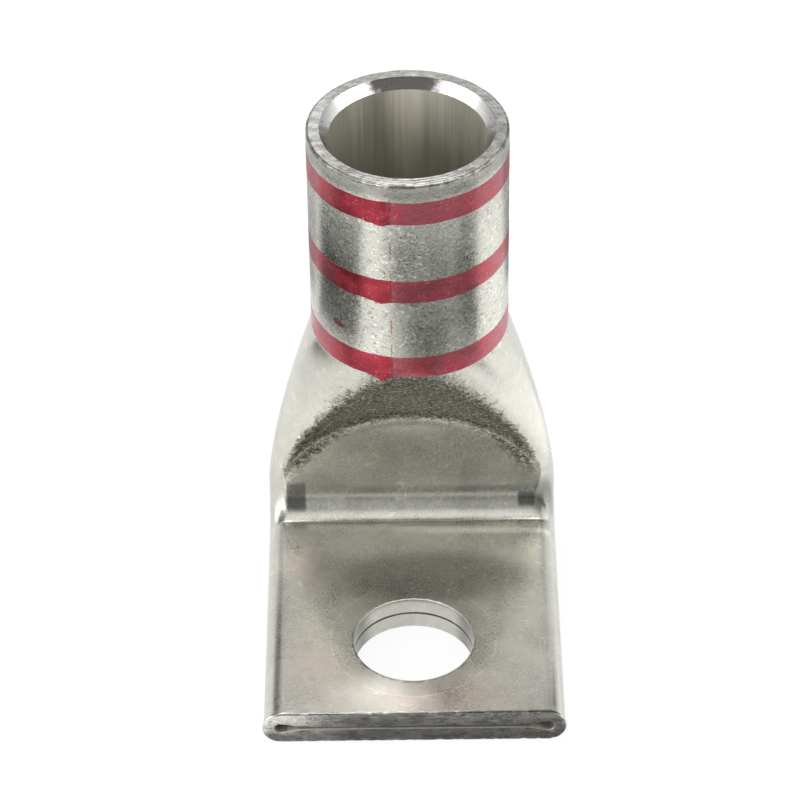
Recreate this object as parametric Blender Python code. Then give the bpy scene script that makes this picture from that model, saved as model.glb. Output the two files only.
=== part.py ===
"""One-hole angle cable lug: one plated copper tube whose lower end is flattened, bent and pierced.

The barrel stands on +Z with its mouth up, and the tongue lies on z = 0, pointing to -Y.
"""

from math import cos, pi, sin

import bmesh
import bpy
import numpy as np
from mathutils import Vector

MM = 0.001

# Barrel: the round part of the tube, from the mouth to the start of the flattening.
BARREL_DIAMETER = 23.8 * MM
WALL = 2.6 * MM
BARREL_LENGTH = 28.0 * MM
MOUTH_LAND = 1.55 * MM
CHAMFER_DEPTH = 1.15 * MM
EDGE_BREAK = 0.2 * MM

# Flattening: from the barrel to the bend. The press tool's nose is round: it leaves an arch on each
# face, with a ramp up to the barrel and rounded crossings.
TRANSITION_LENGTH = 25.5 * MM
RAMP_LENGTH = 13.5 * MM
RAMP_FOOT = 0.12
NOSE_DEPTH = 14.5 * MM
NOSE_MARGIN = 0.3 * MM
PRESS_SOFTNESS = 1.2 * MM
WIDENING = 1.5

# Bend and tongue.
BEND_RADIUS = 3.1 * MM
TONGUE_WIDTH = 35.6 * MM
TONGUE_THICKNESS = 4.5 * MM
REACH = 39.1 * MM
HOLE_DIAMETER = 14.3 * MM
HOLE_TO_END = 12.8 * MM

# Flare left by cutting the tongue off: how far each side stands out, and over what length.
CUT_FLARE = 0.2 * MM
FLARE_LENGTH = 1.6 * MM

# Bore where the walls are pressed together: a slit with a small open loop at each side.
SLIT = 0.3 * MM
LOOP_HEIGHT = 1.3 * MM
LOOP_LENGTH = 3.2 * MM
SIDE_WALL = 1.3 * MM

# Ink bands round the barrel, evenly spaced from the mouth margin down to the flattening.
BAND_COUNT = 3
BAND_WIDTH = 3.1 * MM
BAND_MARGIN = 2.4 * MM

# Mesh steps.
QUARTER_STEPS = 18
SIDE_DENSITY = 1.2
TRANSITION_STEPS = 24
BEND_STEPS = 6
FLARE_STEPS = 2
CURVE_SAMPLES = 24
HOLE_SIDES = 72
CUTTER_MARGIN = 2.0 * MM

# Worked out from the sizes above. The origin is under the middle of the lug's box.
RADIUS = BARREL_DIAMETER / 2
HALF_WIDTH = TONGUE_WIDTH / 2
HALF_THICKNESS = TONGUE_THICKNESS / 2
AXIS_Y = (REACH - RADIUS) / 2
END_Y = AXIS_Y - REACH
HOLE_Y = END_Y + HOLE_TO_END
BEND_MIDDLE_RADIUS = BEND_RADIUS + HALF_THICKNESS
BEND_START = BARREL_LENGTH + TRANSITION_LENGTH
BEND_END = BEND_START + BEND_MIDDLE_RADIUS * pi / 2
LUG_LENGTH = BEND_END + REACH - BEND_MIDDLE_RADIUS
MOUTH_Z = HALF_THICKNESS + BEND_MIDDLE_RADIUS + BEND_START

TIN, INK = 0, 1


def mix(start, end, share):
    return start + (end - start) * share


def path_frame(distance):
    """The centre line at a distance from the mouth: a point, and the way that the front face looks."""
    turn = min(max((distance - BEND_START) / BEND_MIDDLE_RADIUS, 0.0), pi / 2)
    down = min(distance, BEND_START)
    onward = max(distance - BEND_END, 0.0)
    y = AXIS_Y - BEND_MIDDLE_RADIUS * (1 - cos(turn)) - onward
    z = MOUTH_Z - down - BEND_MIDDLE_RADIUS * sin(turn)
    return Vector((0, y, z)), Vector((0, -cos(turn), sin(turn)))


def left_to_press(distance, across):
    """Share of the depth still to be lost at these places across: the nose's ramp, with a rounded foot."""
    reach = np.clip(np.abs(across) / (HALF_WIDTH - NOSE_MARGIN), 0, 1)
    along = (distance - BARREL_LENGTH - NOSE_DEPTH * (1 - np.sqrt(1 - reach**2))) / RAMP_LENGTH
    foot = np.clip(1 + RAMP_FOOT - along, 0, 2 * RAMP_FOOT) ** 2 / (4 * RAMP_FOOT)
    return np.maximum(1 - along, foot)


def soft_min(a, b, softness):
    """The lower of two heights, rounded where they cross."""
    share = np.clip(0.5 + 0.5 * (b - a) / np.maximum(softness, 1e-9), 0, 1)
    return mix(b, a, share) - softness * share * (1 - share)


def cut_flare(distance):
    """How far the side edge stands out near the cut end."""
    return CUT_FLARE * max(1 - (LUG_LENGTH - distance) / FLARE_LENGTH, 0.0) ** 2


def flattened_share(distance):
    return min(max(distance - BARREL_LENGTH, 0.0) / TRANSITION_LENGTH, 1.0)


def free_sizes(distance):
    """Half width and side radius of the tube as it widens between the press tools, its girth kept."""
    share = flattened_share(distance)
    half_width = mix(RADIUS, HALF_WIDTH, 1 - (1 - share) ** WIDENING)
    flat_girth = HALF_WIDTH + (pi / 2 - 1) * HALF_THICKNESS
    lobe = (mix(RADIUS * pi / 2, flat_girth, share) - half_width) / (pi / 2 - 1)
    return half_width + cut_flare(distance), lobe


def outer_section(distance):
    half_width, lobe = free_sizes(distance)
    return outline(distance, half_width, lobe, HALF_THICKNESS, RADIUS)


def bore_section(distance):
    """The bore's section, which closes to a slit between two loops."""
    share = flattened_share(distance)
    half_width, lobe = free_sizes(distance)
    half_width -= mix(WALL, SIDE_WALL, share)
    lobe -= mix(WALL, HALF_THICKNESS - LOOP_HEIGHT / 2, share)
    return outline(distance, half_width, lobe, SLIT / 2, RADIUS - WALL, (LOOP_HEIGHT - SLIT) / 2)


def quarter_outline(distance, half_width, lobe, pressed, full, loop):
    """One quarter of a section: a round side lobe and a level top, pressed in by the tool."""
    lobe_x = max(half_width - lobe, 0.0)
    angle = np.linspace(0, pi / 2, CURVE_SAMPLES + 1)
    cap = np.column_stack((lobe_x + lobe * np.cos(angle), lobe * np.sin(angle)))
    top = np.column_stack((np.linspace(lobe_x, 0, CURVE_SAMPLES), np.full(CURVE_SAMPLES, lobe)))
    points = np.concatenate((cap, top[1:])) if lobe_x > 0 else cap
    left = left_to_press(distance, points[:, 0])
    into_loop = np.clip(1 - (half_width - loop - points[:, 0]) / LOOP_LENGTH, 0, 1)
    height = mix(pressed, full, left) + loop * (1 - np.cos(pi * into_loop)) / 2
    softness = np.minimum(PRESS_SOFTNESS, (full - pressed) * left)
    points[:, 1] = soft_min(points[:, 1], height, softness)
    return points


def spread(points):
    """The outline's points set out anew by length, closer together at the side edge."""
    lengths = np.hypot(*np.diff(points, axis=0).T)
    reached = np.concatenate(([0.0], np.cumsum(lengths)))
    steps = np.arange(QUARTER_STEPS + 1) / QUARTER_STEPS
    places = (steps + SIDE_DENSITY * steps**2) / (1 + SIDE_DENSITY) * reached[-1]
    return np.column_stack([np.interp(places, reached, points[:, axis]) for axis in (0, 1)])


def outline(distance, half_width, lobe, pressed, full, loop=0.0):
    """A closed section outline: across and front-to-back places of its points."""
    quarter = spread(quarter_outline(distance, half_width, lobe, pressed, full, loop))
    half = np.concatenate([quarter, quarter[-2::-1] * (-1, 1)])
    return np.concatenate([half, half[-2:0:-1] * (1, -1)])


def section_ring(bm, distance, section):
    """A closed ring of vertices for the section, square to the centre line."""
    centre, front = path_frame(distance)
    return [bm.verts.new(centre + Vector((x, 0, 0)) + front * depth) for x, depth in section]


def round_ring(bm, distance, radius):
    return section_ring(bm, distance, outline(0.0, radius, radius, HALF_THICKNESS, RADIUS))


def bridge(bm, ring_a, ring_b, material=TIN):
    """A strip of quads between two rings with the same number of vertices."""
    for i in range(len(ring_a)):
        corners = (ring_a[i - 1], ring_a[i], ring_b[i], ring_b[i - 1])
        bm.faces.new(corners).material_index = material


def band_edges():
    """Distances from the mouth of each ink band's upper and lower edge."""
    pitch = (BARREL_LENGTH - BAND_MARGIN - BAND_WIDTH) / max(BAND_COUNT - 1, 1)
    tops = [BAND_MARGIN + pitch * i for i in range(BAND_COUNT)]
    return [(top, top + BAND_WIDTH) for top in tops]


def flattened_stations():
    """Distances of the sections past the barrel: transition, bend and the flare at the cut end."""
    transition = TRANSITION_LENGTH / TRANSITION_STEPS
    bend = (BEND_END - BEND_START) / BEND_STEPS
    flare = FLARE_LENGTH / FLARE_STEPS
    stations = [BARREL_LENGTH + transition * i for i in range(1, TRANSITION_STEPS)]
    stations += [BEND_START + bend * i for i in range(BEND_STEPS + 1)]
    return stations + [LUG_LENGTH - flare * (FLARE_STEPS - i) for i in range(FLARE_STEPS + 1)]


def outer_skin(bm):
    """The outside, from the mouth's broken edge to the tongue's end. Returns its two end rings."""
    first = last = round_ring(bm, 0.0, RADIUS - EDGE_BREAK)
    ring = round_ring(bm, EDGE_BREAK, RADIUS)
    bridge(bm, last, ring)
    last = ring
    for top, bottom in band_edges():
        for distance, material in ((top, TIN), (bottom, INK)):
            ring = section_ring(bm, distance, outer_section(distance))
            bridge(bm, last, ring, material)
            last = ring
    for distance in flattened_stations():
        ring = section_ring(bm, distance, outer_section(distance))
        bridge(bm, last, ring)
        last = ring
    return first, last


def bore_skin(bm):
    """The inside, from the mouth's chamfer to the slit at the tongue's end. Returns its two end rings."""
    first = last = round_ring(bm, 0.0, RADIUS - MOUTH_LAND)
    for distance in [CHAMFER_DEPTH, band_edges()[-1][0], BARREL_LENGTH] + flattened_stations():
        ring = section_ring(bm, distance, bore_section(distance))
        bridge(bm, last, ring)
        last = ring
    return first, last


def tube_mesh():
    """The whole tube before piercing: two lofted skins, joined at the mouth and at the tongue's end."""
    bm = bmesh.new()
    outer_mouth, outer_end = outer_skin(bm)
    bore_mouth, bore_end = bore_skin(bm)
    bridge(bm, outer_mouth, bore_mouth)
    bridge(bm, outer_end, bore_end)
    bmesh.ops.recalc_face_normals(bm, faces=bm.faces)
    mesh = bpy.data.meshes.new("lug_body")
    bm.to_mesh(mesh)
    bm.free()
    return mesh


def hole_cutter(collection):
    """A cylinder through both walls of the tongue."""
    mesh = bpy.data.meshes.new("hole_cutter")
    bm = bmesh.new()
    bmesh.ops.create_cone(
        bm,
        cap_ends=True,
        segments=HOLE_SIDES,
        radius1=HOLE_DIAMETER / 2,
        radius2=HOLE_DIAMETER / 2,
        depth=TONGUE_THICKNESS + 2 * CUTTER_MARGIN,
    )
    bm.to_mesh(mesh)
    bm.free()
    cutter = bpy.data.objects.new("hole_cutter", mesh)
    cutter.location = (0, HOLE_Y, HALF_THICKNESS)
    cutter.hide_render = True
    cutter.display_type = "WIRE"
    collection.objects.link(cutter)
    return cutter


def plain_material(name, colour, roughness, metallic):
    material = bpy.data.materials.new(name)
    material.use_nodes = True
    shader = material.node_tree.nodes["Principled BSDF"]
    shader.inputs["Base Color"].default_value = (*colour, 1)
    shader.inputs["Roughness"].default_value = roughness
    shader.inputs["Metallic"].default_value = metallic
    return material


def tin_plate():
    return plain_material("tin_plate", (0.62, 0.61, 0.57), 0.3, 1.0)


def red_ink():
    return plain_material("red_ink", (0.42, 0.03, 0.07), 0.45, 0.2)


def lug_body(collection, cutters):
    """The one piece: flattened, bent and pierced, with its ink bands as a second material."""
    mesh = tube_mesh()
    mesh.materials.append(tin_plate())
    mesh.materials.append(red_ink())
    lug = bpy.data.objects.new("lug_body", mesh)
    collection.objects.link(lug)
    pierce = lug.modifiers.new("stud_hole", "BOOLEAN")
    pierce.operation = "DIFFERENCE"
    pierce.solver = "EXACT"
    pierce.object = hole_cutter(cutters)
    mesh.shade_smooth()
    mesh.set_sharp_from_angle(angle=pi / 5)
    return lug


def new_collection(name):
    collection = bpy.data.collections.new(name)
    bpy.context.scene.collection.children.link(collection)
    return collection


def main():
    for obj in list(bpy.data.objects):
        bpy.data.objects.remove(obj)
    lug_body(new_collection("angle_cable_lug"), new_collection("cutters"))


main()
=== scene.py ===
"""Looks of the angle cable lug: tin-plated tube, sawn and chamfered mouth, pierced tongue, red ink bands."""

from math import cos, pi, radians, sin
from random import Random

import bmesh
import bpy
import numpy as np
from mathutils import Matrix, Vector


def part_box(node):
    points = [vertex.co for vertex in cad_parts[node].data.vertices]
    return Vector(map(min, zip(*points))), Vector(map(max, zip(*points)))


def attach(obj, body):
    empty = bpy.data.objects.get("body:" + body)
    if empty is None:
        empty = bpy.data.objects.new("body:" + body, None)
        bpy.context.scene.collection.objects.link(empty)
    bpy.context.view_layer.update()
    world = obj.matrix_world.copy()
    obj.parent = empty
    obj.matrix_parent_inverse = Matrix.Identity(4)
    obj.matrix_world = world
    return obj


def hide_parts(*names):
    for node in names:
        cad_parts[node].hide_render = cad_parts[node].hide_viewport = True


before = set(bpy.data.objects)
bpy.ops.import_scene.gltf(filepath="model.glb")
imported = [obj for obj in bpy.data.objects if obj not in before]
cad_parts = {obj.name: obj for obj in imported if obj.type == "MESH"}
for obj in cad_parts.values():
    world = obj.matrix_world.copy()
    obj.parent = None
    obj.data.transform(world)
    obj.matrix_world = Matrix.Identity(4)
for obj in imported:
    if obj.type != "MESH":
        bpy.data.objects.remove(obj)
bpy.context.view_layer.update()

MM = 0.001


def mm(*lengths):
    """Lengths given in millimetres, in metres."""
    return tuple(length * MM for length in lengths)


# The lug's box gives the overall sizes. The rest repeats the part's driving dimensions.
low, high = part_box("lug_body")
BARREL_DIAMETER = 23.8 * MM
WALL = 2.6 * MM
BARREL_LENGTH = 28.0 * MM
MOUTH_LAND = 1.55 * MM
CHAMFER_DEPTH = 1.15 * MM
TRANSITION_LENGTH = 25.5 * MM
RAMP_LENGTH = 13.5 * MM
RAMP_FOOT = 0.12
NOSE_HALF_WIDTH = 17.5 * MM
NOSE_DEPTH = 14.5 * MM
PRESS_SOFTNESS = 1.2 * MM
WIDENING = 1.5
BEND_RADIUS = 3.1 * MM
TONGUE_THICKNESS = 4.5 * MM
HOLE_DIAMETER = 14.3 * MM
HOLE_TO_END = 12.8 * MM
CUT_FLARE = 0.2 * MM
FLARE_LENGTH = 1.6 * MM
SLIT = 0.3 * MM
LOOP_HEIGHT = 1.3 * MM
LOOP_LENGTH = 3.2 * MM
SIDE_WALL = 1.3 * MM
BAND_COUNT = 3
BAND_WIDTH = 3.1 * MM
BAND_MARGIN = 2.4 * MM

INK_FILM = 0.02 * MM
RADIUS = BARREL_DIAMETER / 2 - INK_FILM
HALF_WIDTH = (high.x - low.x) / 2 - CUT_FLARE
HALF_THICKNESS = TONGUE_THICKNESS / 2
AXIS_Y = high.y - BARREL_DIAMETER / 2
HOLE_Y = low.y + HOLE_TO_END
MOUTH_Z = high.z
BARREL_FOOT_Z = MOUTH_Z - BARREL_LENGTH
BEND_MIDDLE_RADIUS = BEND_RADIUS + HALF_THICKNESS
BEND_START = BARREL_LENGTH + TRANSITION_LENGTH
BEND_END = BEND_START + BEND_MIDDLE_RADIUS * pi / 2
LUG_LENGTH = BEND_END + AXIS_Y - low.y - BEND_MIDDLE_RADIUS

# Rounded edges and small unevenness that only the fine mesh shows.
LIP_ROUND = 0.3 * MM
LIP_BURR = 0.05 * MM
LIP_SEED = 5
END_ROUND = 0.2 * MM
END_BURR = 0.06 * MM
END_SEED = 11
SLIT_ROUND = 0.1 * MM
HOLE_RIM = 0.14 * MM
FILL_RADIUS = 4.6 * MM
NOSE_REACH = FILL_RADIUS - BEND_RADIUS
NOSE_RISE = 0.9 * MM
CORNER_SOFTNESS = 0.12 * MM
BEND_SWELL = 0.22 * MM
SWELL_START, SWELL_TOP, SWELL_FALL, SWELL_END = mm(-1.2, 0, 0.5, 7)
RIDGE_HEIGHT = 0.07 * MM
RIDGE_FAINT = 0.25
RIDGE_LEFT, RIDGE_RIGHT, RIDGE_FADE = mm(-2.3, 13.5, 0.5)
RIDGE_PLACE = 0.75 * MM
RIDGE_WIDTH = 0.4 * MM
TIN_RELIEF = 0.007 * MM

# The die's corner marks: each one's span across the lug, along it from the bend's start, and in height.
LEFT_MARK = mm(-15.6, -13.2), mm(-0.4, 3.2), mm(5.4, 8.9)
RIGHT_MARK = mm(13.2, 15.3), mm(1.0, 2.6), mm(5.6, 7.2)
MARK_DEPTH = 0.03 * MM

# The ink bands' seam, overlap and runs, by the place along the girth from the middle of the front.
SEAM = -2.2 * MM
OVERLAP_START = -5.2 * MM
OVERLAP_DROP = 0.13 * MM
OVERLAP_FADE = 0.06 * MM
RUN_PLACE = -3.4 * MM
RUN_WIDTH = 0.6 * MM
INK_RUNS = mm(0.25, 0.3, 0.7)
INK_EDGE = 0.025 * MM
INK_SEED = 20
INK_SEED_STEP = 7

# Mesh steps.
QUARTER_STEPS = 64
SIDE_DENSITY = 1.2
CURVE_SAMPLES = 32
ROUND_STEPS = 4
BARREL_STEP = 1.4 * MM
TRANSITION_STEP = 0.32 * MM
BEND_STEP = 0.16 * MM
TONGUE_STEP = 0.5 * MM
FLARE_STEP = 0.3 * MM
FINE_BEFORE_BEND = 5 * MM
FINE_AFTER_BEND = 1.6 * MM
BORE_STEP = 1.0 * MM
CHAMFER_SHARES = (0.0, 0.03, 0.5, 0.97, 1.0)
INK_STEPS = 9
HOLE_SIDES = 180
CARD_STEPS = 12
SHARP_ANGLE = radians(38)

# Camera, from the fit of the mouth, the bands and the tongue to the photograph.
LENS_MM = 169.1
SENSOR_MM = 36
CAMERA_DISTANCE = 452.96 * MM
CAMERA_ELEVATION = radians(39.14)
CAMERA_AZIMUTH = radians(0.23)
CAMERA_ROLL = radians(-0.83)
CAMERA_TARGET = Vector((-1.29, 6.58, 25.89)) * MM


def mix(start, end, share):
    return start + (end - start) * share


def bell(value, centre, width):
    """A smooth bump of height 1 at the centre."""
    return np.exp(-(((value - centre) / width) ** 2))


def smooth_step(value, start, end):
    share = min(max((value - start) / (end - start), 0.0), 1.0)
    return share * share * (3 - 2 * share)


def plateau(value, start, end, soft):
    """About 1 between start and end, with soft shoulders."""
    rise, fall = (np.clip(step / soft, -60, 60) for step in (start - value, value - end))
    return 1 / (1 + np.exp(rise)) / (1 + np.exp(fall))


def ripple(places, seed, longest, shortest, count=24):
    """Seeded unevenness along a line, between about -1 and 1."""
    random = Random(seed)
    total = np.zeros_like(places, dtype=float)
    for _ in range(count):
        wave = longest * (shortest / longest) ** random.random()
        total += np.sin(2 * pi * places / wave + random.uniform(0, 2 * pi))
    return total / count**0.5


def path_frame(distance):
    """The centre line at a distance from the mouth: a point, and the way that the front face looks."""
    turn = min(max((distance - BEND_START) / BEND_MIDDLE_RADIUS, 0.0), pi / 2)
    down = min(distance, BEND_START)
    onward = max(distance - BEND_END, 0.0)
    y = AXIS_Y - BEND_MIDDLE_RADIUS * (1 - cos(turn)) - onward
    z = MOUTH_Z - down - BEND_MIDDLE_RADIUS * sin(turn)
    return np.array((0, y, z)), np.array((0, -cos(turn), sin(turn)))


def left_to_press(distance, across):
    """Share of the depth still to be lost where the press tool's round nose slopes down to its flat face."""
    reach = np.clip(np.abs(across) / NOSE_HALF_WIDTH, 0, 1)
    along = (distance - BARREL_LENGTH - NOSE_DEPTH * (1 - np.sqrt(1 - reach**2))) / RAMP_LENGTH
    foot = np.clip(1 + RAMP_FOOT - along, 0, 2 * RAMP_FOOT) ** 2 / (4 * RAMP_FOOT)
    return np.maximum(1 - along, foot)


def soft_min(a, b, softness):
    """The lower of two heights, rounded where they cross."""
    share = np.clip(0.5 + 0.5 * (b - a) / np.maximum(softness, 1e-9), 0, 1)
    return mix(b, a, share) - softness * share * (1 - share)


def flattened_share(distance):
    return min(max(distance - BARREL_LENGTH, 0.0) / TRANSITION_LENGTH, 1.0)


def free_sizes(distance):
    """Half width and side radius of the tube as it widens between the press tools, its girth kept."""
    share = flattened_share(distance)
    half_width = mix(RADIUS, HALF_WIDTH, 1 - (1 - share) ** WIDENING)
    flat_girth = HALF_WIDTH + (pi / 2 - 1) * HALF_THICKNESS
    lobe = (mix(RADIUS * pi / 2, flat_girth, share) - half_width) / (pi / 2 - 1)
    return half_width, lobe


def outer_section(distance, inset=0.0):
    half_width, lobe = free_sizes(distance)
    half_width += CUT_FLARE * max(1 - (LUG_LENGTH - distance) / FLARE_LENGTH, 0.0) ** 2 - inset
    return outline(distance, half_width, lobe - inset, HALF_THICKNESS - inset, RADIUS - inset)


def bore_section(distance, inset=0.0):
    """The bore's section, which closes to a slit between two loops."""
    share = flattened_share(distance)
    half_width, lobe = free_sizes(distance)
    half_width -= mix(WALL, SIDE_WALL, share) + inset
    lobe -= mix(WALL, HALF_THICKNESS - LOOP_HEIGHT / 2, share) + inset
    loop = (LOOP_HEIGHT - SLIT) / 2
    return outline(distance, half_width, lobe, SLIT / 2 - inset, RADIUS - WALL - inset, loop)


def round_section(radius):
    return outline(-BARREL_LENGTH, radius, radius, radius, radius)


def quarter_outline(distance, half_width, lobe, pressed, full, loop):
    """One quarter of a section: a round side lobe and a level top, pressed in by the tool."""
    lobe_x = max(half_width - lobe, 0.0)
    angle = np.linspace(0, pi / 2, CURVE_SAMPLES + 1)
    cap = np.column_stack((lobe_x + lobe * np.cos(angle), lobe * np.sin(angle)))
    top = np.column_stack((np.linspace(lobe_x, 0, CURVE_SAMPLES), np.full(CURVE_SAMPLES, lobe)))
    points = np.concatenate((cap, top[1:])) if lobe_x > 0 else cap
    left = left_to_press(distance, points[:, 0])
    into_loop = np.clip(1 - (half_width - loop - points[:, 0]) / LOOP_LENGTH, 0, 1)
    height = mix(pressed, full, left) + loop * (1 - np.cos(pi * into_loop)) / 2
    softness = np.minimum(PRESS_SOFTNESS, (full - pressed) * left)
    points[:, 1] = soft_min(points[:, 1], height, softness)
    return points


def spread(points):
    """The outline's points set out anew by length, closer together at the side edge."""
    reached = np.concatenate(([0.0], np.cumsum(np.hypot(*np.diff(points, axis=0).T))))
    steps = np.arange(QUARTER_STEPS + 1) / QUARTER_STEPS
    places = (steps + SIDE_DENSITY * steps**2) / (1 + SIDE_DENSITY) * reached[-1]
    return np.column_stack([np.interp(places, reached, points[:, axis]) for axis in (0, 1)])


def outline(distance, half_width, lobe, pressed, full, loop=0.0):
    """A closed section outline: across and front-to-back places of its points."""
    quarter = spread(quarter_outline(distance, half_width, lobe, pressed, full, loop))
    half = np.concatenate([quarter, quarter[-2::-1] * (-1, 1)])
    return np.concatenate([half, half[-2:0:-1] * (1, -1)])


def ring(distance, section):
    """The section's points in space, square to the centre line."""
    centre, front = path_frame(distance)
    return centre + np.outer(section[:, 0], (1, 0, 0)) + np.outer(section[:, 1], front)


def steps_between(start, end, step):
    count = max(round((end - start) / step), 1)
    return list(np.linspace(start, end, count + 1)[1:])


def around_barrel(points):
    """Each point's place along the barrel's girth, from the middle of the front."""
    return np.arctan2(points[:, 0], AXIS_Y - points[:, 1]) * RADIUS


def lip_rings():
    """The rounded lip, with a slight burr."""
    rings = []
    for i in range(ROUND_STEPS + 1):
        turn = pi / 2 * i / ROUND_STEPS
        points = ring(LIP_ROUND * (1 - cos(turn)), round_section(RADIUS - LIP_ROUND * (1 - sin(turn))))
        burr = 0.5 + 0.5 * ripple(around_barrel(points), LIP_SEED, 6 * MM, 0.7 * MM)
        points[:, 2] -= LIP_BURR * burr.clip(0, 1)
        rings.append(points)
    return rings


def end_rings():
    """The rounded cut end, with a slight burr."""
    rings = []
    for i in range(1, ROUND_STEPS + 1):
        turn = pi / 2 * i / ROUND_STEPS
        distance = LUG_LENGTH - END_ROUND * (1 - sin(turn))
        points = ring(distance, outer_section(distance, END_ROUND * (1 - cos(turn))))
        burr = ripple(points[:, 0] + points[:, 2], END_SEED, 5 * MM, 0.6 * MM)
        points[:, 1] += END_BURR * burr.clip(0, 1)
        rings.append(points)
    return rings


def outer_stations():
    """Distances of the sections between the two rounded ends, closest together in the bend."""
    fine_start = BEND_START - FINE_BEFORE_BEND
    fine_end = BEND_END + FINE_AFTER_BEND
    flare_start = LUG_LENGTH - FLARE_LENGTH
    places = (LIP_ROUND, BARREL_LENGTH, fine_start, fine_end, flare_start, LUG_LENGTH - END_ROUND)
    steps = (BARREL_STEP, TRANSITION_STEP, BEND_STEP, TONGUE_STEP, FLARE_STEP)
    return [place for span in zip(places, places[1:], steps) for place in steps_between(*span)]


def outer_rings():
    """Rings of the outside, from the rounded lip to the rounded cut end."""
    middle = [ring(place, outer_section(place)) + pressed_marks(place) for place in outer_stations()]
    return lip_rings() + middle + end_rings()


def bend_fill(distance):
    """The metal left in the bend's inner corner by a wide tool nose."""
    turn = min(max((distance - BEND_START) / BEND_MIDDLE_RADIUS, 0.0), pi / 2)
    above = max(BEND_START - distance, 0.0)
    if above > NOSE_RISE or distance > BEND_END:
        return 0.0
    if above > 0:
        return FILL_RADIUS - (FILL_RADIUS**2 - (NOSE_RISE - above) ** 2) ** 0.5
    along = NOSE_REACH * cos(turn) + NOSE_RISE * sin(turn)
    to_nose = (along**2 + FILL_RADIUS**2 - NOSE_REACH**2 - NOSE_RISE**2) ** 0.5 - along
    to_tongue = BEND_RADIUS / max(sin(turn), 1e-6)
    return BEND_RADIUS - float(soft_min(to_nose, to_tongue, CORNER_SOFTNESS))


def die_mark(distance, across, span, along):
    """1 inside a corner mark, 0 outside."""
    start, end = (BEND_START + place for place in along)
    return plateau(across, *span, 0.15 * MM) * plateau(distance, start, end, 0.25 * MM)


def pressed_marks(distance):
    """How far the press tools moved the front face at this station: the bend's shape and two corner marks."""
    flat = outer_section(distance)
    _, front = path_frame(distance)
    across = flat[:, 0]
    on_front = np.clip(flat[:, 1] / HALF_THICKNESS, 0, 1)
    ridge = mix(RIDGE_FAINT, 1, plateau(across, RIDGE_LEFT, RIDGE_RIGHT, RIDGE_FADE))
    ridge = RIDGE_HEIGHT * ridge * bell(distance, BEND_END + RIDGE_PLACE, RIDGE_WIDTH)
    swell = BEND_SWELL * smooth_step(distance, BEND_END + SWELL_START, BEND_END + SWELL_TOP)
    swell *= 1 - smooth_step(distance, BEND_END + SWELL_FALL, BEND_END + SWELL_END)
    left, right = (die_mark(distance, across, *mark[:2]) for mark in (LEFT_MARK, RIGHT_MARK))
    sunk = (flat[:, 1] > 0) * np.maximum(left, right) * MARK_DEPTH
    return np.outer(on_front * (bend_fill(distance) + ridge + swell) - sunk, front)


def bore_rings():
    """Rings of the inside, from the lip's inner edge through the chamfer to the slit's rounded end."""
    rings = []
    for share in CHAMFER_SHARES:
        radius = mix(RADIUS - MOUTH_LAND, RADIUS - WALL, share)
        rings.append(ring(CHAMFER_DEPTH * share, round_section(radius)))
    places = (CHAMFER_DEPTH, BARREL_LENGTH, BEND_START, BEND_END, LUG_LENGTH - SLIT_ROUND)
    steps = (BORE_STEP, BORE_STEP, BORE_STEP / 2, 2 * BORE_STEP)
    stations = [place for span in zip(places, places[1:], steps) for place in steps_between(*span)]
    rings += [ring(distance, bore_section(distance)) for distance in stations]
    return rings + [ring(LUG_LENGTH, bore_section(LUG_LENGTH, -SLIT_ROUND))]


def strip(upper, lower, count):
    """Quads between two rings, given the number of each ring's first point."""
    around = np.arange(count)
    before = np.roll(around, 1)
    return np.column_stack((upper + before, upper + around, lower + around, lower + before))


def loft(rings, first_index):
    """Quads between each two neighbouring rings."""
    count = len(rings[0])
    starts = [first_index + i * count for i in range(len(rings))]
    return np.concatenate([strip(a, b, count) for a, b in zip(starts, starts[1:])])


def closed_mesh(name, rings, parts):
    """A mesh of all rings' points, from pairs of quads and their material slot."""
    faces = np.concatenate([quads for quads, _ in parts])
    slots = np.concatenate([np.full(len(quads), slot) for quads, slot in parts])
    mesh = bpy.data.meshes.new(name)
    mesh.from_pydata(np.concatenate(rings).tolist(), [], faces.tolist())
    mesh.polygons.foreach_set("material_index", slots.astype(np.int32))
    bm = bmesh.new()
    bm.from_mesh(mesh)
    bmesh.ops.recalc_face_normals(bm, faces=bm.faces)
    bm.to_mesh(mesh)
    bm.free()
    return mesh


# The lug's material slots.
TIN, POLISHED, SAWN, BORE = 0, 1, 2, 3


def lug_mesh():
    """The whole tube before piercing."""
    outer, inner = outer_rings(), bore_rings()
    count = len(outer[0])
    chamfer = len(CHAMFER_SHARES)
    inner_start = len(outer) * count
    bore_start = inner_start + (chamfer - 1) * count
    last_outer, last_inner = inner_start - count, inner_start + (len(inner) - 1) * count
    parts = [
        (loft(outer, 0), TIN),
        (loft(inner[:chamfer], inner_start), POLISHED),
        (loft(inner[chamfer - 1:], bore_start), BORE),
        (strip(0, inner_start, count), SAWN),
        (strip(last_outer, last_inner, count), SAWN),
    ]
    return closed_mesh("lug", outer + inner, parts)


def hole_profile():
    """Radius and height of the cutter's edges, from above the tongue to below it."""
    radius = HOLE_DIAMETER / 2
    return [
        (radius + 4 * HOLE_RIM, TONGUE_THICKNESS + 3 * HOLE_RIM),
        (radius + HOLE_RIM, TONGUE_THICKNESS),
        (radius + HOLE_RIM * 0.3, TONGUE_THICKNESS - HOLE_RIM * 0.35),
        (radius, TONGUE_THICKNESS - HOLE_RIM),
        (radius, HOLE_RIM),
        (radius + HOLE_RIM, 0.0),
        (radius + 4 * HOLE_RIM, -3 * HOLE_RIM),
    ]


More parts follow.
